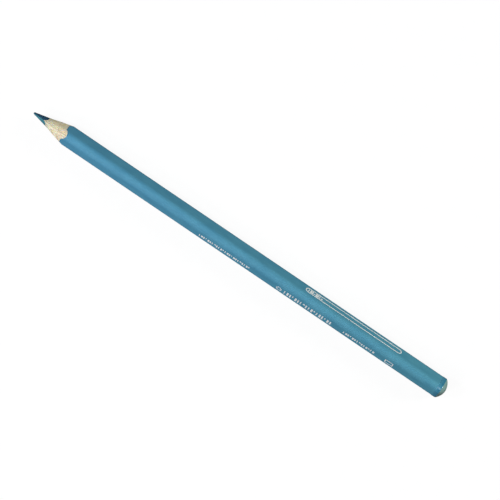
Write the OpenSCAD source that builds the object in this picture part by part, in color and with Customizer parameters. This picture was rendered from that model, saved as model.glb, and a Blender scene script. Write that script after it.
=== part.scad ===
// Coloured pencil: a sharpened three-sided barrel with a soft matt finish and a dipped end.
// It lies on one flat side along X, with the point towards -X and a rounded corner upwards.
// The origin is under the middle of its length, on the surface that it lies on.

/* [Barrel] */
// Length from the tip of the lead to the crown of the dipped end
pencil_l = 175; // [150:1:190]
// Width across two rounded corners of the finished barrel
barrel_w = 7.7; // [6.6:0.05:9]
// Radius of the three rounded corners
corner_r = 2.15; // [1.8:0.05:2.6]

/* [Sharpened point] */
// How fast the point widens at its three rounded edges, in mm per mm of length
edge_slope = 0.254; // [0.24:0.002:0.3]
// How fast it widens at the middle of its three flatter sides
side_slope = 0.21; // [0.2:0.001:0.236]
// Radius of the blunt tip of the lead
tip_r = 0.48; // [0.25:0.01:0.7]

/* [Core] */
// Diameter of the coloured lead
lead_d = 3; // [2.2:0.1:3.8]
// Glue around the lead, in the groove of each slat
groove_glue_t = 0.1; // [0.06:0.01:0.2]
// Glue between the two slats
seam_glue_t = 0.1; // [0.06:0.01:0.2]

/* [Coats] */
// Pale filler on the bare wood
primer_t = 0.04; // [0.03:0.01:0.12]
// Teal lacquer over the filler
lacquer_t = 0.04; // [0.03:0.01:0.12]
// Soft matt coat over the lacquer
matt_t = 0.04; // [0.03:0.01:0.12]

/* [Dipped end] */
// Height of the domed end above its rim
dome_h = 1.8; // [1:0.1:2.4]
// Length of the dip, from the crown to its edge on the barrel
dip_l = 3.4; // [2.8:0.1:8]
// How far the dip stands proud of the matt coat
dip_step = 0.08; // [0.04:0.01:0.15]

/* [Print] */
// Thickness of the silver foil
foil_t = 0.03; // [0.02:0.01:0.05]
// Width of the lines and strokes of the foil
stroke_w = 0.34; // [0.2:0.02:0.45]
// Distance from the crown to the rear end of both prints
print_gap = 20.4; // [12:0.1:30]
// Length of the name field
field_l = 40.5; // [25:0.5:45]
// Height of the name field
field_h = 2.5; // [1.8:0.1:2.6]
// Height of the large marks on the other side
mark_h = 2.3; // [1.6:0.1:2.6]
// Height of the small marks
small_h = 1.4; // [0.9:0.1:1.6]

/* [Hidden] */
$fn = 96;

// Section of the barrel
corner_d = (barrel_w - 2 * corner_r) / sqrt(3);   // axis to the centre of each corner's arc
side_d = corner_d / 2 + corner_r;                 // axis to the middle of a flat side
edge_d = corner_d + corner_r;                     // axis to the outermost line of a corner
dip_t = matt_t + dip_step;                        // the dip takes the place of the matt coat
axis_z = side_d + dip_step;
corner_angles = [90, 210, 330];
side_turns = [60, 180, 300];                      // from the top corner to the middle of each side
wood_inset = primer_t + lacquer_t + matt_t;
groove_r = lead_d / 2 + groove_glue_t;

// Sharpened point
edge_angle = atan(edge_slope);
side_angle = atan(side_slope);
apex_x = tip_r - tip_r / sin(edge_angle);

// Domed end: a ball rounds the corners and a cylinder rounds each flat side
ball_r = (pow(edge_d, 2) + pow(dome_h, 2)) / (2 * dome_h);
vault_r = (pow(side_d, 2) + pow(dome_h, 2)) / (2 * dome_h);

// Room that cutting solids are given around the pencil, and how far they run past what they cut
reach = 2 * barrel_w;
past = 1;

// Rear ends and lengths of the printed groups, from the crown towards the point
square_mark_l = 3.4;
series_gap = 4.3;
series_l = 13.4;
title_gap = 4.7;
title_l = 20.4;
ring_gap = 1.1;
ring_d = 2.2;
origin_gap = 11.1;
origin_l = 21.7;
caption_inset = 1.1;
caption_l = 6;
caption_count = 8;
series_count = 14;
title_count = 18;
origin_count = 24;
field_end_x = pencil_l - print_gap;
series_end_x = field_end_x - square_mark_l - series_gap;
title_end_x = series_end_x - series_l - title_gap;
ring_end_x = title_end_x - title_l - ring_gap;
origin_end_x = ring_end_x - ring_d - origin_gap;

// Rhythm of the strokes: their widths in turn, and which ones are only half as high
stroke_widths = [1, 2, 1.5];
half_stroke_every = 4;

// Points a direction on the unit circle
function heading(a) = [cos(a), sin(a)];

// Section of the barrel in its own plane, with one corner up, grown by so much on every side
module barrel_section(grow) {
    r = corner_r + grow;
    union() {
        polygon([for (a = corner_angles, turn = [-60, 60]) corner_d * heading(a) + r * heading(a + turn)]);
        for (a = corner_angles) translate(corner_d * heading(a)) circle(r);
    }
}

// Prism with the barrel's section between two places along the axis
module barrel_prism(from_x, to_x, grow) {
    translate([from_x, 0, 0]) rotate([90, 0, 90]) linear_extrude(to_x - from_x) barrel_section(grow);
}

// Cylinder on the pencil's axis
module axis_rod(from_x, to_x, r) {
    translate([from_x, 0, 0]) rotate([0, 90, 0]) cylinder(h = to_x - from_x, r = r);
}

// Places a solid in the row frame: built from the tip along the axis, it is moved to lie on the ground
module laid_down() {
    translate([-pencil_l / 2, 0, axis_z]) children();
}

// Blunt cone that touches the three rounded edges of the point
module point_cone() {
    tangent = tip_r * [cos(edge_angle), 1 - sin(edge_angle)];
    far_x = pencil_l + reach;
    rotate([0, 90, 0]) rotate_extrude() union() {
        intersection() {
            translate([0, tip_r]) circle(tip_r);
            square([tip_r, 2 * tip_r]);
        }
        polygon([[0, tangent.y], tangent, [(far_x - apex_x) * edge_slope, far_x], [0, far_x]]);
    }
}

// What the sharpening takes off above one of the three flatter sides of the point
module side_cut(turn) {
    rotate([turn, 0, 0]) translate([apex_x, 0, 0]) rotate([0, -side_angle, 0])
        translate([-reach, -reach, 0]) cube([5 * reach, 2 * reach, reach]);
}

// What the rounding takes off the rear end, leaving so much under the outside of the dip
module end_cut(inset) {
    difference() {
        axis_rod(pencil_l - ball_r, pencil_l + reach, reach);
        translate([pencil_l - ball_r, 0, 0]) sphere(ball_r - inset);
    }
    for (turn = side_turns) rotate([turn, 0, 0]) translate([pencil_l - vault_r, -reach, 0]) difference() {
        cube([reach, 2 * reach, reach]);
        translate([0, -past, 0]) rotate([-90, 0, 0]) cylinder(h = 2 * (reach + past), r = vault_r - inset);
    }
}

// Sharpens and rounds what it is given, as the finished pencil is
module finished() {
    difference() {
        intersection() {
            children();
            point_cone();
        }
        for (turn = side_turns) side_cut(turn);
        end_cut(dip_t);
    }
}

// Half of the space around the seam: side 1 is left of it, side -1 is right
module half_space(side) {
    near_y = side > 0 ? seam_glue_t / 2 : -seam_glue_t / 2 - reach;
    translate([-past, near_y, -reach]) cube([pencil_l + 2 * past, reach, 2 * reach]);
}

module slat(side) {
    laid_down() finished() difference() {
        intersection() {
            barrel_prism(0, pencil_l, -wood_inset);
            half_space(side);
        }
        axis_rod(-past, pencil_l + past, groove_r);
    }
}

// Glue film between the slats, above (side 1) or below (side -1) the lead
module seam_glue(side) {
    low_z = side > 0 ? 0 : -reach;
    laid_down() finished() difference() {
        intersection() {
            barrel_prism(0, pencil_l, -wood_inset);
            translate([-past, -seam_glue_t / 2, low_z]) cube([pencil_l + 2 * past, seam_glue_t, reach]);
        }
        axis_rod(-past, pencil_l + past, groove_r);
    }
}

// One coat of the barrel up to end_x, so deep under the finished surface and so thick
module coat(end_x, depth, thickness) {
    laid_down() finished() difference() {
        barrel_prism(0, end_x, -depth);
        barrel_prism(-past, end_x + past, -depth - thickness);
    }
}

// Foil on a flat side: side 1 is left of the top corner, side -1 is right. Its drawing has x from
// the tip of the lead and y from the middle of the flat side, up towards the top corner.
module foil(side) {
    laid_down() rotate([side > 0 ? -60 : 60, 0, 0]) translate([0, 0, side_d])
        linear_extrude(foil_t) facing_corner(side) children();
}

// Turns a drawing over so that its y axis runs towards the top corner on either side
module facing_corner(side) {
    if (side > 0) mirror([0, 1, 0]) children();
    else children();
}

// Bar with round ends between two places along the pencil
module round_bar(from_x, to_x, h) {
    r = h / 2;
    translate([from_x + r, -r]) square([to_x - from_x - h, h]);
    for (x = [from_x + r, to_x - r]) translate([x, 0]) circle(r);
}

// Row of upright strokes of changing width that fills a length up to end_x
module strokes(end_x, l, h, count) {
    pitch = l / count;
    for (i = [0 : count - 1]) {
        w = stroke_w * stroke_widths[i % len(stroke_widths)];
        low = i % half_stroke_every == half_stroke_every - 1 ? 0 : -h / 2;
        translate([end_x - l + pitch * i, low]) square([w, h / 2 - low]);
    }
}

module lead_core() {
    color("#1f4f63") laid_down() finished() axis_rod(-past, pencil_l + past, lead_d / 2);
}

module lead_glue() {
    color("#d8cfae") laid_down() finished() difference() {
        axis_rod(-past, pencil_l + past, groove_r);
        axis_rod(-2 * past, pencil_l + 2 * past, lead_d / 2);
    }
}

module slat_left() {
    color("#dcc7a2") slat(1);
}

module slat_right() {
    color("#e2cfac") slat(-1);
}

module seam_glue_upper() {
    color("#b89a6c") seam_glue(1);
}

module seam_glue_lower() {
    color("#b89a6c") seam_glue(-1);
}

module primer_coat() {
    color("#e9e6d6") coat(pencil_l, lacquer_t + matt_t, primer_t);
}

module lacquer_coat() {
    color("#2f7f9b") coat(pencil_l, matt_t, lacquer_t);
}

module matt_coat() {
    color("#45859f") coat(pencil_l - dip_l, 0, matt_t);
}

module end_dip() {
    color("#5f9ba0") laid_down() difference() {
        barrel_prism(pencil_l - dip_l, pencil_l, dip_step);
        end_cut(0);
        difference() {
            barrel_prism(pencil_l - dip_l - past, pencil_l, -matt_t);
            end_cut(dip_t);
        }
    }
}

module name_field() {
    inner_h = field_h - 2 * stroke_w;
    color("#e8ecec") foil(1) difference() {
        round_bar(field_end_x - field_l, field_end_x, field_h);
        round_bar(field_end_x - field_l + stroke_w, field_end_x - stroke_w, inner_h);
    }
}

module name_field_caption() {
    color("#e8ecec") foil(1)
        strokes(field_end_x - field_l + caption_inset + caption_l, caption_l, small_h, caption_count);
}

module square_mark() {
    inner = square_mark_l - 2 * stroke_w;
    color("#e8ecec") foil(-1) translate([field_end_x - square_mark_l, -mark_h / 2]) difference() {
        square([square_mark_l, mark_h]);
        translate([stroke_w, stroke_w]) square([inner, mark_h - 2 * stroke_w]);
    }
}

module series_strokes() {
    color("#e8ecec") foil(-1) strokes(series_end_x, series_l, small_h, series_count);
}

module title_strokes() {
    color("#e8ecec") foil(-1) strokes(title_end_x, title_l, mark_h, title_count);
}

module ring_mark() {
    color("#e8ecec") foil(-1) translate([ring_end_x - ring_d / 2, 0]) difference() {
        circle(d = ring_d);
        circle(d = ring_d - 2 * stroke_w);
    }
}

module origin_strokes() {
    color("#e8ecec") foil(-1) strokes(origin_end_x, origin_l, small_h, origin_count);
}

lead_core();
lead_glue();
slat_left();
slat_right();
seam_glue_upper();
seam_glue_lower();
primer_coat();
lacquer_coat();
matt_coat();
end_dip();
name_field();
name_field_caption();
square_mark();
series_strokes();
title_strokes();
ring_mark();
origin_strokes();
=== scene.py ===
import math
import bpy
import bmesh
import numpy as np
from mathutils import Matrix, Vector


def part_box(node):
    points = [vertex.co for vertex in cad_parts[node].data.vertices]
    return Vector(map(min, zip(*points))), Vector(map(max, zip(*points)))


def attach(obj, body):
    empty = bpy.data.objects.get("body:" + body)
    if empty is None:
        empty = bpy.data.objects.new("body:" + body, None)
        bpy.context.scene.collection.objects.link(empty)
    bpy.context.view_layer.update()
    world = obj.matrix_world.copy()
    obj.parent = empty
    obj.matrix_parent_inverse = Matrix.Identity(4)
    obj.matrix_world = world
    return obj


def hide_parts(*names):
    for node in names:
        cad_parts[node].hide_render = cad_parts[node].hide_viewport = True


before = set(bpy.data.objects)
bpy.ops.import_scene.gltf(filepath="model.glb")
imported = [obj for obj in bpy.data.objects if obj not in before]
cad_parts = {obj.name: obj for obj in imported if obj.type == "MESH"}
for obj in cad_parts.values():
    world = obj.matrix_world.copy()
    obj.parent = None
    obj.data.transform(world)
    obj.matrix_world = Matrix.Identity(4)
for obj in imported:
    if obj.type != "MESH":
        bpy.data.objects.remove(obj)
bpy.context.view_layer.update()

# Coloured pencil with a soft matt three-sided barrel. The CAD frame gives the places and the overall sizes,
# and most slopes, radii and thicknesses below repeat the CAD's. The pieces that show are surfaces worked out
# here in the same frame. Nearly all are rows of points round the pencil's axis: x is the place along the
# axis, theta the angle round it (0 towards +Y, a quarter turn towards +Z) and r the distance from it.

mm = 0.001
quarter = math.pi / 2  # of a turn
third = 2 * math.pi / 3

barrel = {
    "cornerRadius": 2.15 * mm,
    "matt": 0.04 * mm,
    "lacquer": 0.04 * mm,
    "primer": 0.07 * mm,  # with what has soaked into the wood
    "columns": 288,
    "rows": 110,
    "rowCrowding": 1.5,  # above 1 the rows lie closer together near the point
    "hiddenRows": 12,  # on each surface that another coat hides
    "waviness": 0.006 * mm,
    "waveCell": (9 * mm, 1.6 * mm, 1.6 * mm),
    "waveFadeIn": 1 * mm,
    "raggedEdge": 0.010 * mm,
    "raggedCell": 0.22,  # as a share of the radius, as is the next
    "raggedFineCell": 0.07,
    "raggedFineShare": 0.6,
}
point = {
    "edgeSlope": 0.254,  # how fast the three rounded edges rise
    "sideSlope": 0.21,  # and the middles of the sides between them
    "crispSlope": 0.2035,  # the sides again, near the lead, where the edges are still crisp
    "wornBy": 3.0 * mm,  # the distance from the axis where the edges are fully round
    "tipRadius": 0.48 * mm,
    "leadRadius": 1.5 * mm,
    "glue": 0.1 * mm,
    "seam": 0.1 * mm,
}

# sizes that the CAD nodes give
coatLow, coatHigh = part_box("matt_coat")
dipLow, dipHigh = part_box("end_dip")
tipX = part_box("lead_core")[0].x
crownX = dipHigh.x
dipStartX = dipLow.x
dipStep = (dipHigh.y - dipLow.y - coatHigh.y + coatLow.y) / 2
cornerDistance = (coatHigh.y - coatLow.y - 2 * barrel["cornerRadius"]) / math.sqrt(3)
axisZ = coatHigh.z - cornerDistance - barrel["cornerRadius"]
edgeAngle = math.atan(point["edgeSlope"])
apexX = tipX + point["tipRadius"] - point["tipRadius"] / math.sin(edgeAngle)
glueRadius = point["leadRadius"] + point["glue"]
roundTurn = np.linspace(0, 2 * math.pi, barrel["columns"], endpoint=False)


def sectionRadius(theta, distance, radius):
    # Distance from the axis to a triangle with rounded corners. On a corner's arc it follows from the
    # cosine rule about the arc's centre; on a flat side it is the side's distance over the cosine of the
    # angle from its middle.
    turn = np.abs((theta - quarter + third / 2) % third - third / 2)
    arc = distance * np.cos(turn) + np.sqrt(np.maximum(radius**2 - (distance * np.sin(turn))**2, 0))
    flat = (distance / 2 + radius) / np.cos(third / 2 - turn)
    arcEnd = math.atan2(radius * math.sin(third / 2), distance + radius * math.cos(third / 2))
    return np.where(turn < arcEnd, arc, flat)


def barrelRadius(theta, inset=0.0):
    # The barrel's section, or the one that lies that far under it, whose corners have the same centres
    return sectionRadius(theta, cornerDistance, barrel["cornerRadius"] - inset)


def pointShape(theta, r):
    # The point's section as a share of its widest radius. Near the lead it has three crisp ridges: the
    # cosine of the angle from a side's middle, to a small negative power. Further out it is the rounded
    # triangle that both slopes describe, and a smooth step in the distance from the axis joins the two.
    turn = np.abs((theta - quarter + third / 2) % third - third / 2)
    power = math.log2(point["edgeSlope"] / point["crispSlope"])
    crisp = point["crispSlope"] / point["edgeSlope"] * np.cos(third / 2 - turn)**-power
    distance = 2 * (point["edgeSlope"] - point["sideSlope"])
    worn = sectionRadius(theta, distance, point["edgeSlope"] - distance) / point["edgeSlope"]
    step = np.clip((r - point["leadRadius"]) / (point["wornBy"] - point["leadRadius"]), 0, 1)
    return crisp + (worn - crisp) * step**2 * (3 - 2 * step)


def pointX(theta, r):
    # Where the sharpened surface is r away from the axis. The section's widest radius gives the place: by
    # Pythagoras on the round nose, and past it in proportion to the distance from the cone's apex.
    ridge = r / pointShape(theta, r)
    nose = point["tipRadius"]
    noseX = tipX + nose - np.sqrt(np.maximum(nose**2 - ridge**2, 0))
    coneX = apexX + ridge / point["edgeSlope"]
    return np.where(ridge < nose * math.cos(edgeAngle), noseX, coneX)


def placed(x, theta, r):
    # Places along, round and away from the axis as points of the shared frame
    x, theta, r = np.broadcast_arrays(x, theta, r)
    return np.stack([x, r * np.cos(theta), axisZ + r * np.sin(theta)], axis=-1)


def spaceNoise(points, cell, seed):
    # Random heights from -1 to 1 on a lattice in space with the given cell, blended between the eight
    # nearest corners with the smooth step 3f^2 - 2f^3. The lattice repeats after that many cells each
    # way.
    repeat = 32
    table = np.random.default_rng(seed).uniform(-1, 1, (repeat, repeat, repeat))
    spot = points / np.array(cell)
    low = np.floor(spot).astype(int)
    part = spot - low
    part = part * part * (3 - 2 * part)
    total = np.zeros(points.shape[:-1])
    for corner in np.ndindex(2, 2, 2):
        i, j, k = ((low[..., axis] + corner[axis]) % repeat for axis in range(3))
        share = np.prod([part[..., a] if corner[a] else 1 - part[..., a] for a in range(3)], axis=0)
        total += table[i, j, k] * share
    return total


mergeDistance = 0.0002 * mm


def solidFromRows(name, rows, closeAlong=False, gaps=(), sharpAngle=30):
    # Joins each row of points to the next with quads that face outwards, each row closing on itself.
    # Points that meet are merged, which closes poles and knife edges. A gap leaves out the band that
    # follows its row.
    count, width = rows.shape[:2]
    index = np.arange(count * width).reshape(count, width)
    after = np.roll(index, -1, axis=0)
    kept = [row for row in range(count if closeAlong else count - 1) if row not in gaps]
    index, after = index[kept], after[kept]
    quads = np.stack([index, np.roll(index, -1, axis=1), np.roll(after, -1, axis=1), after], axis=-1)
    mesh = bpy.data.meshes.new(name)
    mesh.from_pydata(rows.reshape(-1, 3).tolist(), [], quads.reshape(-1, 4).tolist())
    work = bmesh.new()
    work.from_mesh(mesh)
    bmesh.ops.remove_doubles(work, verts=work.verts, dist=mergeDistance)
    work.to_mesh(mesh)
    work.free()
    mesh.shade_smooth()
    mesh.set_sharp_from_angle(angle=math.radians(sharpAngle))
    piece = bpy.data.objects.new(name, mesh)
    bpy.context.scene.collection.objects.link(piece)
    return piece


def fit(piece, node, material):
    piece.data.materials.append(material)
    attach(piece, "root")
    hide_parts(node)


def roundNoise(theta, cell, seed):
    # Random heights that depend on the angle only, read from a circle of radius 1 in the space noise
    circle = np.stack([np.cos(theta), np.sin(theta), np.zeros_like(theta)], axis=-1)
    return spaceNoise(circle, (cell, cell, 1), seed)


def coatTop(theta, inset, seed):
    # A coat's outer surface: the barrel's section that much further in, with a slow random wander round the
    # pencil, because filler soaks into the wood unevenly
    r = barrelRadius(theta, inset)
    wander = roundNoise(theta, barrel["raggedCell"], seed)
    fine = roundNoise(theta, barrel["raggedFineCell"], seed + 1)
    return r + barrel["raggedEdge"] * (wander + barrel["raggedFineShare"] * fine)


def woodTop(theta):
    return coatTop(theta, barrel["matt"] + barrel["lacquer"] + barrel["primer"], seed=11)


def primerTop(theta):
    return coatTop(theta, barrel["matt"] + barrel["lacquer"], seed=21)


def lacquerTop(theta):
    return coatTop(theta, barrel["matt"], seed=31)


end = {
    "domeHeight": 1.8 * mm,
    "dipThickness": dipStep + barrel["matt"],
    "rimRadius": 0.16 * mm,
    "rimRows": 9,
    "edgeLength": 0.12 * mm,  # over which the front edge rises from the barrel
    "edgeRows": 8,
    "sideFrom": 0.18 * mm,  # the side's rows, counted from the front edge
    "sideTo": 1 * mm,
    "sideRows": 12,
    "beadHeight": 0.03 * mm,
    "beadPlace": 0.2 * mm,
    "beadLength": 0.28 * mm,
    "unevenStart": 0.1 * mm,
    "unevenCell": 0.7,  # as a share of the radius
    "domeRows": 64,
    "insideRows": 10,
}
rimX = crownX - end["domeHeight"]


def domeX(theta, r, inset=0.0):
    # The rounded end: at each angle a circle's arc through the rim and the crown, whose radius follows
    # from its width and height. The whole is a smooth pillow.
    rim = barrelRadius(theta) + dipStep - end["beadHeight"]
    arcRadius = (rim**2 + end["domeHeight"]**2) / (2 * end["domeHeight"])
    return crownX - arcRadius + np.sqrt((arcRadius - inset)**2 - r**2)


def tube(name, outerFront, outerRear, innerRear, innerFront, rows, sharpAngle=8):
    # A sleeve round the axis. Each argument is an (x, r) pair of one ring. The outside runs from front to
    # rear in straight lines and the inside back again, and the two ends close it.
    share = np.linspace(0, 1, rows)[:, None]
    x = np.concatenate([outerFront[0] + (outerRear[0] - outerFront[0]) * share,
                        innerRear[0] + (innerFront[0] - innerRear[0]) * share])
    r = np.concatenate([outerFront[1] + (outerRear[1] - outerFront[1]) * share,
                        innerRear[1] + (innerFront[1] - innerRear[1]) * share])
    return solidFromRows(name, placed(x, roundTurn, r), closeAlong=True, sharpAngle=sharpAngle)


lead = {
    "noseRows": 16,
    "coneRows": 90,
    "rodRows": 8,
    "capRows": 6,
    "glueRows": 6,
    "scratchDepth": 0.006 * mm,
    "scratchCell": (0.09 * mm, 2.5 * mm, 2.5 * mm),
    "unevenness": 0.022 * mm,
    "unevenCell": (0.9 * mm, 0.5 * mm, 0.5 * mm),
    "calmAtNose": 0.3 * mm,  # distances over which the relief dies out
    "calmAtEdge": 0.35 * mm,
}


def makeLead(material):
    # Nose and cone share one surface. The rows' distance from the axis grows as a sine over the nose and
    # evenly over the cone, up to the lead's own radius, and the lead then runs on as a rod to the rounded
    # end. Sharpening leaves fine rings, which are noise that changes quickly along the axis and slowly
    # round it.
    noseEdge = point["tipRadius"] * math.cos(edgeAngle) * pointShape(roundTurn, 0)
    nose = np.sin(np.linspace(0, quarter, lead["noseRows"]))[:, None] * noseEdge
    share = np.linspace(0, 1, lead["coneRows"])[1:, None]
    cone = noseEdge + (point["leadRadius"] - noseEdge) * share
    r = np.concatenate([nose, cone])
    x = pointX(roundTurn, r)
    spots = placed(x, roundTurn, r)
    calm = np.clip((point["leadRadius"] - r) / lead["calmAtEdge"], 0, 1)
    calm = calm * np.clip(r / lead["calmAtNose"], 0, 1)
    rings = spaceNoise(spots, lead["scratchCell"], seed=41)
    lumps = spaceNoise(spots, lead["unevenCell"], seed=42)
    r = r + calm * (lead["scratchDepth"] * rings + lead["unevenness"] * lumps)
    start = x[-1]
    stop = domeX(roundTurn, point["leadRadius"], end["dipThickness"])
    rod = start + (stop - start) * np.linspace(0, 1, lead["rodRows"] + 1)[1:, None]
    capR = point["leadRadius"] * np.linspace(1, 0, lead["capRows"] + 1)[1:, None] + 0 * roundTurn
    cap = domeX(roundTurn, capR, end["dipThickness"])
    x = np.concatenate([x, rod, cap])
    r = np.concatenate([r, np.full_like(rod, point["leadRadius"]), capR])
    piece = solidFromRows("colouredLead", placed(x, roundTurn, r))
    fit(piece, "lead_core", material)


def makeLeadGlue(material):
    # A sleeve between the lead and its groove, from the point's surface to the inside of the dip
    front = pointX(roundTurn, glueRadius), glueRadius + 0 * roundTurn
    frontIn = pointX(roundTurn, point["leadRadius"]), point["leadRadius"] + 0 * roundTurn
    rear = domeX(roundTurn, glueRadius, end["dipThickness"]), front[1]
    rearIn = domeX(roundTurn, point["leadRadius"], end["dipThickness"]), frontIn[1]
    piece = tube("leadGlue", front, rear, rearIn, frontIn, lead["glueRows"])
    fit(piece, "lead_glue", material)


wood = {
    "columns": 190,
    "coneRows": 170,
    "bodyRows": 8,
    "fibreCell": (1.6 * mm, 0.11 * mm, 0.11 * mm),
    "bundleCell": (4 * mm, 0.352 * mm, 0.352 * mm),
    "fibreDepth": 0.0096 * mm,
    "ridgeCell": (0.34 * mm, 3 * mm, 3 * mm),
    "ridgeDepth": 0.005 * mm,
    "calmShare": 1 / 12,  # of the way from the lead to the filler, at both ends
    "usualRadius": 3.2 * mm,  # gives the angles at which the filler's edge is read
}


def woodRelief(spots, share):
    # Raised fibres and bundles of them are noise drawn out along the axis, and the blade's faint ridges
    # are noise that changes along it. They die out at the two edges of the bare wood, where it meets the
    # glue and the filler.
    fibres = spaceNoise(spots, wood["fibreCell"], seed=51)
    bundles = spaceNoise(spots, wood["bundleCell"], seed=52)
    ridges = spaceNoise(spots, wood["ridgeCell"], seed=53)
    calm = np.clip(share / wood["calmShare"], 0, 1) * np.clip((1 - share) / wood["calmShare"], 0, 1)
    return calm * (wood["fibreDepth"] * (fibres + bundles) + wood["ridgeDepth"] * ridges)


def makeSlat(name, node, side, material):
    # One half of the casing. Each row is a loop: round the half section's outside, in along the seam,
    # back round the groove and out along the seam. It starts and ends in a knife edge where the outside
    # meets the groove.
    middle = 0.0 if side > 0 else math.pi
    across = np.linspace(-1, 1, wood["columns"])

    def spread(r):
        return middle + across * (quarter - np.arcsin(point["seam"] / 2 / r))

    # the point, from the lead to the filler
    share = np.linspace(0, 1, wood["coneRows"])[:, None]
    theta = spread(np.full_like(share, wood["usualRadius"]))
    r = glueRadius + (woodTop(theta) - glueRadius) * share
    theta = spread(r)
    x = pointX(theta, r)
    r = r + woodRelief(placed(x, theta, r), share)
    # the barrel, then the rounded end, back in to the groove
    bodyShare = np.linspace(0, 1, wood["bodyRows"] + 1)[1:, None]
    bodyTheta = np.repeat(theta[-1][None], wood["bodyRows"], axis=0)
    bodyR = woodTop(bodyTheta)
    rear = domeX(theta[-1], bodyR[-1], end["dipThickness"])
    bodyX = x[-1] + (rear - x[-1]) * bodyShare
    endR = bodyR[-1] + (glueRadius - bodyR[-1]) * bodyShare
    endTheta = spread(endR)
    endX = domeX(endTheta, endR, end["dipThickness"])
    x = np.concatenate([x, bodyX, endX])
    r = np.concatenate([r, bodyR, endR])
    theta = np.concatenate([theta, bodyTheta, endTheta])
    grooveTheta = np.broadcast_to(spread(glueRadius + 0 * across), x.shape)
    outside = placed(x, theta, r)
    groove = placed(x, grooveTheta, glueRadius)[:, ::-1]
    piece = solidFromRows(name, np.concatenate([outside, groove], axis=1), sharpAngle=40)
    fit(piece, node, material)


seamFilm = {
    "coneRows": 80,
    "bodyRows": 8,
    "shrunkBy": 0.008 * mm,  # how far the dried glue stays under the wood's surface
}


def makeSeamGlue(name, node, turn, material):
    # A thin upright film between the slats. Its height follows the wood's surface up the point, and stays
    # the same from there on. Its four edges lie half a film to either side, by Pythagoras.
    coneRows, bodyRows = seamFilm["coneRows"], seamFilm["bodyRows"]
    share = np.concatenate([np.linspace(0, 1, coneRows), np.ones(bodyRows)])
    top = glueRadius + (woodTop(np.array(turn)) - glueRadius) * share
    x = pointX(turn, top)
    rear = domeX(np.array(turn), top[-1], end["dipThickness"])
    x[coneRows:] += (rear - x[coneRows:]) * np.linspace(0, 1, bodyRows + 1)[1:]
    top = np.maximum(top - seamFilm["shrunkBy"] * (share > 0), glueRadius)
    half = point["seam"] / 2
    outward = np.stack([top, top, glueRadius + 0 * top, glueRadius + 0 * top], axis=-1)
    sideways = np.broadcast_to(np.array([-half, half, half, -half]), outward.shape)
    height = np.sqrt(outward**2 - half**2)
    y = height * math.cos(turn) - sideways * math.sin(turn)
    z = height * math.sin(turn) + sideways * math.cos(turn)
    rows = np.stack([np.broadcast_to(x[:, None], y.shape), y, axisZ + z], axis=-1)
    piece = solidFromRows(name, rows)
    closeEnds(piece)
    fit(piece, node, material)


def closeEnds(piece):
    # Fills the open rims of a mesh and turns its faces outwards
    work = bmesh.new()
    work.from_mesh(piece.data)
    rims = [edge for edge in work.edges if edge.is_boundary]
    bmesh.ops.holes_fill(work, edges=rims, sides=0)
    bmesh.ops.recalc_face_normals(work, faces=work.faces)
    work.to_mesh(piece.data)
    work.free()


barrelMap = {
    "lengths": 3,
    "lengthHeight": 0.31,
    "filled": 0.96,  # the rest is a margin between neighbours
    "insideFrom": 0.94,
    "insideHeight": 0.05,
    "marginAlong": 0.01,
    "marginRound": 0.005,
}


def unrollBarrel(mesh, shares):
    # Where each quad of the matt coat lies on its texture: u runs along and v round. The outside is cut
    # into lengths, one above the other, and the inside is squeezed into a narrow strip over them.
    columns, lengths = barrel["columns"], barrelMap["lengths"]
    row, column = np.divmod(np.arange(len(shares) * columns), columns)
    along = shares[(row[:, None] + np.array([0, 0, 1, 1])) % len(shares)]
    around = (column[:, None] + np.array([0, 1, 1, 0])) / columns
    outside = row[:, None] < barrel["rows"] - 1
    length = np.minimum((lengths * shares[row[:, None]]).astype(int), lengths - 1)
    u = np.where(outside, lengths * along - length, along)
    outsideV = (length + barrelMap["filled"] * (1 - around)) * barrelMap["lengthHeight"]
    v = np.where(outside, outsideV, barrelMap["insideFrom"] + barrelMap["insideHeight"] * around)
    places = [barrelMap["marginAlong"] + barrelMap["filled"] * u, barrelMap["marginRound"] + v]
    layer = mesh.uv_layers.new(name="OFBake")
    layer.data.foreach_set("uv", np.stack(places, axis=-1).ravel())


def makeCoats(primerMaterial, lacquerMaterial, mattMaterial):
    def frontRing(surface):
        r = surface(roundTurn)
        return pointX(roundTurn, r), r

    def rearRing(surface):
        r = surface(roundTurn)
        return domeX(roundTurn, r, end["dipThickness"]), r

    hiddenRows = barrel["hiddenRows"]
    primer = tube("primerCoat", frontRing(primerTop), rearRing(primerTop), rearRing(woodTop),
                  frontRing(woodTop), hiddenRows)
    fit(primer, "primer_coat", primerMaterial)
    lacquer = tube("lacquerCoat", frontRing(lacquerTop), rearRing(lacquerTop), rearRing(primerTop),
                   frontRing(primerTop), hiddenRows)
    fit(lacquer, "lacquer_coat", lacquerMaterial)

    # The matt coat's outside is the barrel's own section with a wander of a few thousandths of a
    # millimetre, which keeps long reflections from looking machined
    frontX, frontR = frontRing(barrelRadius)
    share = np.linspace(0, 1, barrel["rows"])[:, None]**barrel["rowCrowding"]
    x = frontX + (dipStartX - frontX) * share
    r = np.broadcast_to(frontR, x.shape)
    wave = spaceNoise(placed(x, roundTurn, r), barrel["waveCell"], seed=61)
    r = r - barrel["waviness"] * (1 + wave) * np.clip((x - frontX) / barrel["waveFadeIn"], 0, 1)
    innerFront, innerR = frontRing(lacquerTop)
    back = np.linspace(1, 0, hiddenRows)[:, None]
    x = np.concatenate([x, innerFront + (dipStartX - innerFront) * back])
    r = np.concatenate([r, np.broadcast_to(innerR, (hiddenRows, len(innerR)))])
    matt = solidFromRows("mattBarrel", placed(x, roundTurn, r), closeAlong=True, sharpAngle=8)
    insideShare = np.linspace(0.98, 0.02, hiddenRows)
    unrollBarrel(matt.data, np.concatenate([share[:, 0], insideShare]))
    fit(matt, "matt_coat", mattMaterial)


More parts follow.
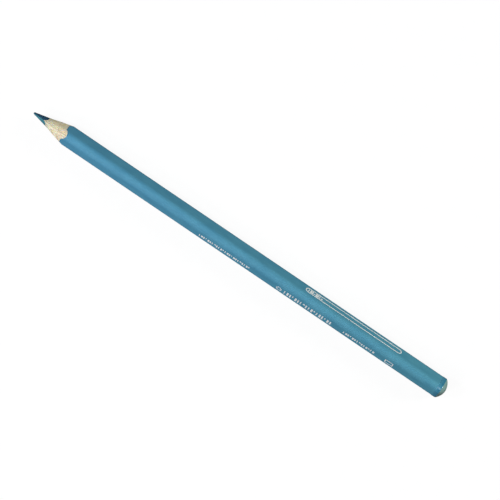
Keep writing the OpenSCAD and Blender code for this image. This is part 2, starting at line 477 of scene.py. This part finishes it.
def makeDip(material):
    # Outside, from the front edge to the crown: an edge that rises like a quarter circle, a bead that
    # dies away behind it like a bell curve, the side, a rim rounded by a quadratic curve, and the
    # pillow-shaped end. Inside, the same run back against the barrel.
    side = barrelRadius(roundTurn)
    uneven = 0.5 + 0.5 * roundNoise(roundTurn, end["unevenCell"], seed=71)
    startX = dipStartX + end["unevenStart"] * uneven
    edge = end["edgeLength"] * np.sin(np.linspace(0, quarter, end["edgeRows"]))**2
    along = np.concatenate([edge, np.linspace(end["sideFrom"], end["sideTo"], end["sideRows"])])[:, None]
    rise = np.sqrt(1 - (1 - np.clip(along / end["edgeLength"], 0, 1))**2)
    bead = end["beadHeight"] * (np.exp(-((along - end["beadPlace"]) / end["beadLength"])**2) - 1)
    frontX = startX + along
    frontR = side + (dipStep + bead) * rise
    cornerR = side + dipStep - end["beadHeight"]
    bend = end["rimRadius"]
    before = np.stack([rimX - bend + 0 * side, cornerR])
    corner = np.stack([rimX + 0 * side, cornerR])
    after = np.stack([domeX(roundTurn, cornerR - bend), cornerR - bend])
    t = np.linspace(0, 1, end["rimRows"])[:, None, None]
    curve = (1 - t)**2 * before + 2 * t * (1 - t) * corner + t**2 * after
    domeR = after[1] * np.cos(np.linspace(0, quarter, end["domeRows"]))[1:, None]
    insideR = side - barrel["matt"]
    backR = insideR * np.linspace(0, 1, end["insideRows"])[:, None]
    backX = domeX(roundTurn, backR, end["dipThickness"])
    footX = dipStartX + 0 * side
    x = np.concatenate([frontX, curve[:, 0], domeX(roundTurn, domeR), backX, [footX, footX]])
    r = np.concatenate([frontR, curve[:, 1], domeR, backR, [insideR, side]])
    crownRow = len(along) + len(t) + len(domeR) - 1
    piece = solidFromRows("dippedEnd", placed(x, roundTurn, r), closeAlong=True, gaps=(crownRow,))
    fit(piece, "end_dip", material)


def startMaterial(name):
    material = bpy.data.materials.new(name)
    material.use_nodes = True
    tree = material.node_tree
    tree.nodes.clear()
    output = tree.nodes.new("ShaderNodeOutputMaterial")
    shader = tree.nodes.new("ShaderNodeBsdfPrincipled")
    tree.links.new(shader.outputs["BSDF"], output.inputs["Surface"])
    return material, tree, shader


def connect(tree, node, inputs):
    # An input that is another node's output is linked, and anything else is a plain value on the socket
    for key, value in inputs.items():
        if isinstance(value, bpy.types.NodeSocket):
            tree.links.new(value, node.inputs[key])
        else:
            node.inputs[key].default_value = value


def put(tree, kind, settings, inputs):
    node = tree.nodes.new(kind)
    for key, value in settings.items():
        setattr(node, key, value)
    connect(tree, node, inputs)
    return node


def ownPlace(tree):
    return put(tree, "ShaderNodeTexCoord", {}, {}).outputs["Object"]


def placeOn(tree, axis):
    return put(tree, "ShaderNodeSeparateXYZ", {}, {"Vector": ownPlace(tree)}).outputs[axis]


def noise(tree, size, stretch=1.0, detail=3.0, roughness=0.5):
    # Noise on the object's own coordinates whose lumps are about that size, drawn out along the pencil
    scaled = put(tree, "ShaderNodeMapping", {}, {
        "Vector": ownPlace(tree), "Scale": (1 / (size * stretch), 1 / size, 1 / size)}).outputs["Vector"]
    return put(tree, "ShaderNodeTexNoise", {}, {
        "Vector": scaled, "Scale": 1.0, "Detail": detail, "Roughness": roughness}).outputs["Fac"]


def remap(tree, value, low, high, newLow=0.0, newHigh=1.0):
    return put(tree, "ShaderNodeMapRange", {}, {
        "Value": value, "From Min": low, "From Max": high, "To Min": newLow,
        "To Max": newHigh}).outputs["Result"]


def maths(tree, operation, a, b):
    return put(tree, "ShaderNodeMath", {"operation": operation}, {0: a, 1: b}).outputs[0]


def weighted(tree, *parts):
    # The sum of several values, each times its own weight
    terms = [maths(tree, "MULTIPLY", value, weight) for value, weight in parts]
    total = terms[0]
    for term in terms[1:]:
        total = maths(tree, "ADD", total, term)
    return total


def blend(tree, factor, a, b, mode="MIX"):
    node = put(tree, "ShaderNodeMix", {"data_type": "RGBA", "blend_type": mode}, {0: factor, 6: a, 7: b})
    return node.outputs[2]


def rgb(r, g, b):
    return (r, g, b, 1.0)


def bump(tree, height, depth, under=None):
    inputs = {"Strength": 1.0, "Distance": depth, "Height": height}
    if under:
        inputs["Normal"] = under
    return put(tree, "ShaderNodeBump", {}, inputs).outputs["Normal"]


mattLook = {
    "deep": rgb(0.072, 0.278, 0.409),
    "light": rgb(0.091, 0.320, 0.445),
    "byPoint": rgb(0.94, 0.92, 1.0),  # bluer here, and greener and less blue at the other end
    "byEnd": rgb(0.94, 0.943, 0.900),
    "dust": rgb(0.30, 0.48, 0.55),
    "cloud": 2.2 * mm,
    "streak": 0.35 * mm,
    "speck": 0.16 * mm,
    "grain": 0.07 * mm,
    "grainDepth": 0.0035 * mm,
    "wave": 0.9 * mm,
    "waveDepth": 0.006 * mm,
    "roughness": (0.46, 0.60),
    "roughPatch": 1.1 * mm,
    "specular": 0.18,
}


def mattTeal():
    # Soft-touch paint: slow clouds of colour, faint streaks drawn along the barrel and a fine powdery grain
    material, tree, shader = startMaterial("softMattTeal")
    clouds = noise(tree, mattLook["cloud"], stretch=2.5, detail=4)
    streaks = noise(tree, mattLook["streak"], stretch=60, detail=2)
    tone = weighted(tree, (clouds, 0.75), (streaks, 0.25))
    colour = blend(tree, remap(tree, tone, 0.36, 0.64), mattLook["deep"], mattLook["light"])
    along = remap(tree, placeOn(tree, "X"), tipX, crownX)
    lean = blend(tree, along, mattLook["byPoint"], mattLook["byEnd"])
    colour = blend(tree, 1.0, colour, lean, "MULTIPLY")
    specks = remap(tree, noise(tree, mattLook["speck"], stretch=1.5, detail=1), 0.74, 0.82, 0.0, 0.5)
    grain = bump(tree, noise(tree, mattLook["grain"], detail=2), mattLook["grainDepth"])
    waves = noise(tree, mattLook["wave"], stretch=12, detail=2)
    rough = noise(tree, mattLook["roughPatch"], stretch=4)
    connect(tree, shader, {
        "Base Color": blend(tree, specks, colour, mattLook["dust"]),
        "Roughness": remap(tree, rough, 0.3, 0.7, *mattLook["roughness"]),
        "Specular IOR Level": mattLook["specular"],
        "Normal": bump(tree, waves, mattLook["waveDepth"], grain)})
    return material


lacquerLook = {
    "deep": rgb(0.020, 0.130, 0.260),
    "light": rgb(0.036, 0.185, 0.330),
    "roughness": 0.35,
    "cloud": 0.5 * mm,
    "grain": 0.08 * mm,
    "grainDepth": 0.004 * mm,
}


def glossTeal():
    material, tree, shader = startMaterial("tealLacquer")
    clouds = remap(tree, noise(tree, lacquerLook["cloud"]), 0.35, 0.65)
    connect(tree, shader, {
        "Base Color": blend(tree, clouds, lacquerLook["deep"], lacquerLook["light"]),
        "Roughness": lacquerLook["roughness"],
        "Normal": bump(tree, noise(tree, lacquerLook["grain"]), lacquerLook["grainDepth"])})
    return material


woodLook = {
    "pale": rgb(0.96, 0.91, 0.66),
    "tan": rgb(0.74, 0.61, 0.38),
    "pink": rgb(0.90, 0.62, 0.50),
    "pore": rgb(0.34, 0.25, 0.15),
    "ringWidth": 0.62 * mm,
    "ringTurn": 0.6,  # radians round the axis
    "fibre": 0.14 * mm,
    "fleck": 0.3 * mm,
    "patch": 0.45 * mm,
    "poreSize": 0.15 * mm,
    "fibreDepth": 0.03 * mm,
    "roughness": (0.62, 0.80),
    "specular": 0.3,
    "glow": 0.45,
    "glowReach": (1.0, 0.7, 0.4),  # red, green and blue, as shares of the depth
    "glowDepth": 0.9 * mm,
}
bandSpacing = 0.32  # about what a wave texture's bands are apart at a scale of 1


def bareWood():
    # Pale softwood cut at a slant: growth rings are a wave across the grain that wanders along it, with
    # short fibre streaks, pinkish patches and dark pores drawn out along the axis
    material, tree, shader = startMaterial("bareSoftwood")
    turned = put(tree, "ShaderNodeMapping", {}, {
        "Vector": ownPlace(tree), "Rotation": (woodLook["ringTurn"], 0, 0),
        "Scale": (0.03 / mm, 1 / mm, 1 / mm)}).outputs["Vector"]
    rings = put(tree, "ShaderNodeTexWave", {"bands_direction": "Y"}, {
        "Vector": turned, "Scale": bandSpacing * mm / woodLook["ringWidth"], "Distortion": 2.2,
        "Detail": 3.0, "Detail Scale": 1.4, "Detail Roughness": 0.6}).outputs["Fac"]
    fibres = noise(tree, woodLook["fibre"], stretch=9, detail=4, roughness=0.65)
    flecks = noise(tree, woodLook["fleck"], stretch=2.4)
    tone = weighted(tree, (rings, 0.15), (fibres, 0.45), (flecks, 0.4))
    colour = blend(tree, remap(tree, tone, 0.40, 0.60), woodLook["pale"], woodLook["tan"])
    patches = noise(tree, woodLook["patch"], stretch=2.2, detail=4)
    colour = blend(tree, remap(tree, patches, 0.50, 0.68, 0.0, 0.45), colour, woodLook["pink"])
    pores = noise(tree, woodLook["poreSize"], stretch=4.5)
    colour = blend(tree, remap(tree, pores, 0.54, 0.70, 0.0, 0.95), colour, woodLook["pore"])
    connect(tree, shader, {
        "Base Color": colour,
        "Roughness": remap(tree, fibres, 0.3, 0.7, *woodLook["roughness"]),
        "Normal": bump(tree, fibres, woodLook["fibreDepth"]),
        "Specular IOR Level": woodLook["specular"],
        "Subsurface Weight": woodLook["glow"],
        "Subsurface Radius": woodLook["glowReach"],
        "Subsurface Scale": woodLook["glowDepth"]})
    return material


glueLook = {
    "seam": (rgb(0.42, 0.29, 0.15), rgb(0.55, 0.40, 0.22)),
    "groove": (rgb(0.66, 0.58, 0.38), rgb(0.78, 0.70, 0.48)),
    "patch": 0.4 * mm,
    "grain": 0.1 * mm,
    "grainDepth": 0.006 * mm,
    "roughness": 0.55,
}


def driedGlue(name, colours):
    material, tree, shader = startMaterial(name)
    connect(tree, shader, {
        "Base Color": blend(tree, noise(tree, glueLook["patch"], stretch=3), *colours),
        "Roughness": glueLook["roughness"],
        "Normal": bump(tree, noise(tree, glueLook["grain"]), glueLook["grainDepth"])})
    return material


leadLook = {
    "dark": rgb(0.010, 0.042, 0.095),
    "darkLight": rgb(0.020, 0.082, 0.150),
    # the paler lit copy of the lead's colour, painted on the -Y flank as painted light
    "paintedLitSide": rgb(0.028, 0.150, 0.210),
    "paintedLitSidePale": rgb(0.055, 0.235, 0.275),
    "paintedLitEdge": (-0.08 * mm, 0.05 * mm),  # across the ridge
    "crumb": rgb(0.14, 0.42, 0.44),
    "crumbSize": 0.14 * mm,
    "mottle": 0.35 * mm,
    "ringLength": 0.06 * mm,
    "ringWidth": 1.2 * mm,
    "ringDepth": 0.012 * mm,
    "roughness": (0.50, 0.64),
    "roughPatch": 0.3 * mm,
    "specular": 0.25,
}


def waxyLead():
    # Waxy pigment: mottled dark teal, a few paler crumbs, and rings left by the blade. The flank towards
    # -Y is painted paler than the others, up to the ridge: painted light on that side of the lead.
    material, tree, shader = startMaterial("waxyLead")
    mottle = remap(tree, noise(tree, leadLook["mottle"], stretch=1.5, detail=4), 0.38, 0.62)
    # painted light: below the ridge, towards -Y, the lead takes the paler lit copy of its colour
    colour = blend(tree, remap(tree, placeOn(tree, "Y"), *leadLook["paintedLitEdge"]),
                   blend(tree, mottle, leadLook["paintedLitSide"], leadLook["paintedLitSidePale"]),
                   blend(tree, mottle, leadLook["dark"], leadLook["darkLight"]))
    crumbs = remap(tree, noise(tree, leadLook["crumbSize"], detail=1), 0.66, 0.76, 0.0, 0.6)
    rings = noise(tree, leadLook["ringWidth"], leadLook["ringLength"] / leadLook["ringWidth"], detail=2)
    connect(tree, shader, {
        "Base Color": blend(tree, crumbs, colour, leadLook["crumb"]),
        "Roughness": remap(tree, noise(tree, leadLook["roughPatch"]), 0.3, 0.7, *leadLook["roughness"]),
        "Specular IOR Level": leadLook["specular"],
        "Normal": bump(tree, rings, leadLook["ringDepth"])})
    return material


fillerLook = {
    "light": rgb(0.78, 0.74, 0.58),
    "deep": rgb(0.62, 0.56, 0.40),
    "cloud": 0.2 * mm,
    "grain": 0.07 * mm,
    "grainDepth": 0.006 * mm,
    "roughness": 0.8,
}


def paleFiller():
    material, tree, shader = startMaterial("paleFiller")
    connect(tree, shader, {
        "Base Color": blend(tree, noise(tree, fillerLook["cloud"]), fillerLook["light"], fillerLook["deep"]),
        "Roughness": fillerLook["roughness"],
        "Normal": bump(tree, noise(tree, fillerLook["grain"]), fillerLook["grainDepth"])})
    return material


dipLook = {
    "edge": rgb(0.070, 0.275, 0.400),
    "band": rgb(0.028, 0.194, 0.325),
    "bandLight": rgb(0.042, 0.235, 0.358),
    "bandFrom": 0.3 * mm,  # in front of the rim
    # the end past the rim: thin lacquer, paled further by a painted reflection of the white room
    "crown": rgb(0.205, 0.365, 0.360),
    "crownLight": rgb(0.270, 0.430, 0.410),
    "crownEdge": (-0.03 * mm, 0.12 * mm),  # across the rim
    "mottle": 0.8 * mm,
    "swell": 0.7 * mm,
    "swellDepth": 0.01 * mm,
    "roughness": (0.22, 0.34),
    "roughPatch": 0.6 * mm,
    "gloss": 0.8,
    "glossRoughness": 0.05,
}


def dipGloss():
    # Glossy dip: the side is a deep even teal, and past the rim the end is paler: partly the lacquer lying
    # thin over it, partly a painted reflection of the white room
    material, tree, shader = startMaterial("dipGloss")
    along = placeOn(tree, "X")
    mottle = remap(tree, noise(tree, dipLook["mottle"]), 0.35, 0.65)
    sideColour = blend(tree, remap(tree, along, dipStartX, rimX - dipLook["bandFrom"]), dipLook["edge"],
                       blend(tree, mottle, dipLook["band"], dipLook["bandLight"]))
    # painted reflection: the end's paler colour stands partly for the white room reflected in it
    crownColour = blend(tree, mottle, dipLook["crown"], dipLook["crownLight"])
    crownFrom, crownTo = dipLook["crownEdge"]
    pastRim = remap(tree, along, rimX + crownFrom, rimX + crownTo)
    connect(tree, shader, {
        "Base Color": blend(tree, pastRim, sideColour, crownColour),
        "Roughness": remap(tree, noise(tree, dipLook["roughPatch"]), 0.3, 0.7, *dipLook["roughness"]),
        "Normal": bump(tree, noise(tree, dipLook["swell"], detail=2), dipLook["swellDepth"]),
        "Coat Weight": dipLook["gloss"],
        "Coat Roughness": dipLook["glossRoughness"]})
    return material


foilLook = {
    "dull": rgb(0.86, 0.88, 0.88),
    "bright": rgb(0.97, 0.97, 0.96),
    "brushing": 0.12 * mm,
    "wornSpot": 0.11 * mm,
    "grain": 0.08 * mm,
    "grainDepth": 0.003 * mm,
    "roughness": (0.28, 0.42),
    "roughPatch": 0.2 * mm,
    "metallic": 0.05,
}


def silverFoil():
    # Stamped foil: silvery white with a brushed tone, worn through to the paint in small spots
    material, tree, shader = startMaterial("silverFoil")
    brushed = noise(tree, foilLook["brushing"], stretch=2)
    tone = blend(tree, brushed, foilLook["dull"], foilLook["bright"])
    worn = remap(tree, noise(tree, foilLook["wornSpot"], stretch=1.3, detail=2), 0.70, 0.78)
    connect(tree, shader, {
        "Base Color": blend(tree, worn, tone, mattLook["deep"]),
        "Roughness": remap(tree, noise(tree, foilLook["roughPatch"]), 0.3, 0.7, *foilLook["roughness"]),
        "Normal": bump(tree, noise(tree, foilLook["grain"]), foilLook["grainDepth"]),
        "Metallic": foilLook["metallic"]})
    return material


print("making the materials")
glueAmber = driedGlue("seamGlue", glueLook["seam"])
gluePale = driedGlue("grooveGlue", glueLook["groove"])
woodMaterial = bareWood()
foilMaterial = silverFoil()

print("making the lead and the wood")
makeLead(waxyLead())
makeLeadGlue(gluePale)
makeSlat("woodLeft", "slat_left", 1, woodMaterial)
makeSlat("woodRight", "slat_right", -1, woodMaterial)
makeSeamGlue("seamGlueUpper", "seam_glue_upper", quarter, glueAmber)
makeSeamGlue("seamGlueLower", "seam_glue_lower", -quarter, glueAmber)

print("making the coats and the dipped end")
makeCoats(paleFiller(), glossTeal(), mattTeal())
makeDip(dipGloss())

print("foil on the printed marks")
printNodes = ("name_field", "name_field_caption", "square_mark", "series_strokes", "title_strokes",
              "ring_mark", "origin_strokes")
for nodeName in printNodes:
    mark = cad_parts[nodeName]
    mark.data.materials.clear()
    mark.data.materials.append(foilMaterial)


shot = {
    "distance": 1.2,
    "nearest": 0.01,
    "furthest": 20,
    "lens": 245.25,
    "sensor": 36,
    "tilt": 5.2,  # degrees from straight down, towards +Y
    "roll": 34.11,  # degrees that the pencil runs below the picture's level
    "aimRight": 3.72 * mm,  # from the middle of the pencil to the middle of the picture
    "aimUp": 0.725 * mm,
}
tilt = math.radians(shot["tilt"])
roll = math.radians(shot["roll"])
backward = Vector((0, math.sin(tilt), math.cos(tilt)))
acrossY = Vector((0, math.cos(tilt), -math.sin(tilt)))
alongX = Vector((1, 0, 0))
rightward = math.cos(roll) * alongX + math.sin(roll) * acrossY
upward = -math.sin(roll) * alongX + math.cos(roll) * acrossY


def makeCamera():
    data = bpy.data.cameras.new("camera")
    data.sensor_width = shot["sensor"]
    data.lens = shot["lens"]
    data.clip_start = shot["nearest"]
    data.clip_end = shot["furthest"]
    camera = bpy.data.objects.new("camera", data)
    aim = Vector(((tipX + crownX) / 2, 0, axisZ)) + shot["aimRight"] * rightward + shot["aimUp"] * upward
    turn = Matrix((rightward, upward, backward)).transposed()
    camera.matrix_world = Matrix.Translation(aim + shot["distance"] * backward) @ turn.to_4x4()
    bpy.context.scene.collection.objects.link(camera)
    bpy.context.scene.camera = camera


lights = {  # all face the origin
    "left": {"place": (-0.51, -0.25, 0.51), "size": 0.2, "power": 2.5, "colour": (0.93, 0.98, 1.08)},
    "front": {"place": (-0.26, -0.58, 0.50), "size": 0.2, "power": 2.55, "colour": (1.0, 1.0, 1.0)},
    "back": {"place": (0.60, 0.56, 0.32), "size": 0.2, "power": 5.7, "colour": (0.98, 1.01, 0.95)},
    "top": {"place": (0.0, 0.0, 0.9), "size": 0.5, "power": 1.8, "colour": (1.0, 1.0, 1.0)},
}


def makeLight(name, values):
    data = bpy.data.lights.new(name, "AREA")
    data.size = values["size"]
    data.energy = values["power"]
    data.color = values["colour"]
    light = bpy.data.objects.new(name, data)
    light.location = values["place"]
    light.rotation_euler = light.location.to_track_quat("Z", "Y").to_euler()
    bpy.context.scene.collection.objects.link(light)


stage = {
    "floorHalf": 3.0,
    "paperDark": rgb(0.07, 0.07, 0.07),
    "paperLight": rgb(0.09, 0.09, 0.09),
    "paperGlow": 0.92,
    "paperFibre": 4 * mm,
    "roomLight": 0.06,
    "roomSeen": 0.95,
}


def makeStage():
    # A pale floor that lights nothing, and a room that looks white and gives little light
    half = stage["floorHalf"]
    floorMesh = bpy.data.meshes.new("floor")
    floorMesh.from_pydata([(-half, -half, 0), (half, -half, 0), (half, half, 0), (-half, half, 0)], [],
                          [(0, 1, 2, 3)])
    floor = bpy.data.objects.new("floor", floorMesh)
    bpy.context.scene.collection.objects.link(floor)
    material, tree, shader = startMaterial("palePaper")
    connect(tree, shader, {
        "Base Color": blend(tree, noise(tree, stage["paperFibre"]), stage["paperDark"], stage["paperLight"]),
        "Roughness": 0.9,
        "Specular IOR Level": 0.1,
        "Emission Color": rgb(1, 1, 1),
        "Emission Strength": stage["paperGlow"]})
    floorMesh.materials.append(material)
    floor.visible_diffuse = False
    floor.visible_glossy = False
    world = bpy.data.worlds.new("studio")
    world.use_nodes = True
    tree = world.node_tree
    seen = put(tree, "ShaderNodeLightPath", {}, {}).outputs["Is Camera Ray"]
    strength = remap(tree, seen, 0, 1, stage["roomLight"], stage["roomSeen"])
    connect(tree, tree.nodes["Background"], {"Color": rgb(1, 1, 1), "Strength": strength})
    bpy.context.scene.world = world


print("setting the stage")
makeCamera()
for lightName, lightValues in lights.items():
    makeLight(lightName, lightValues)
makeStage()
bpy.context.scene.view_settings.view_transform = "Standard"
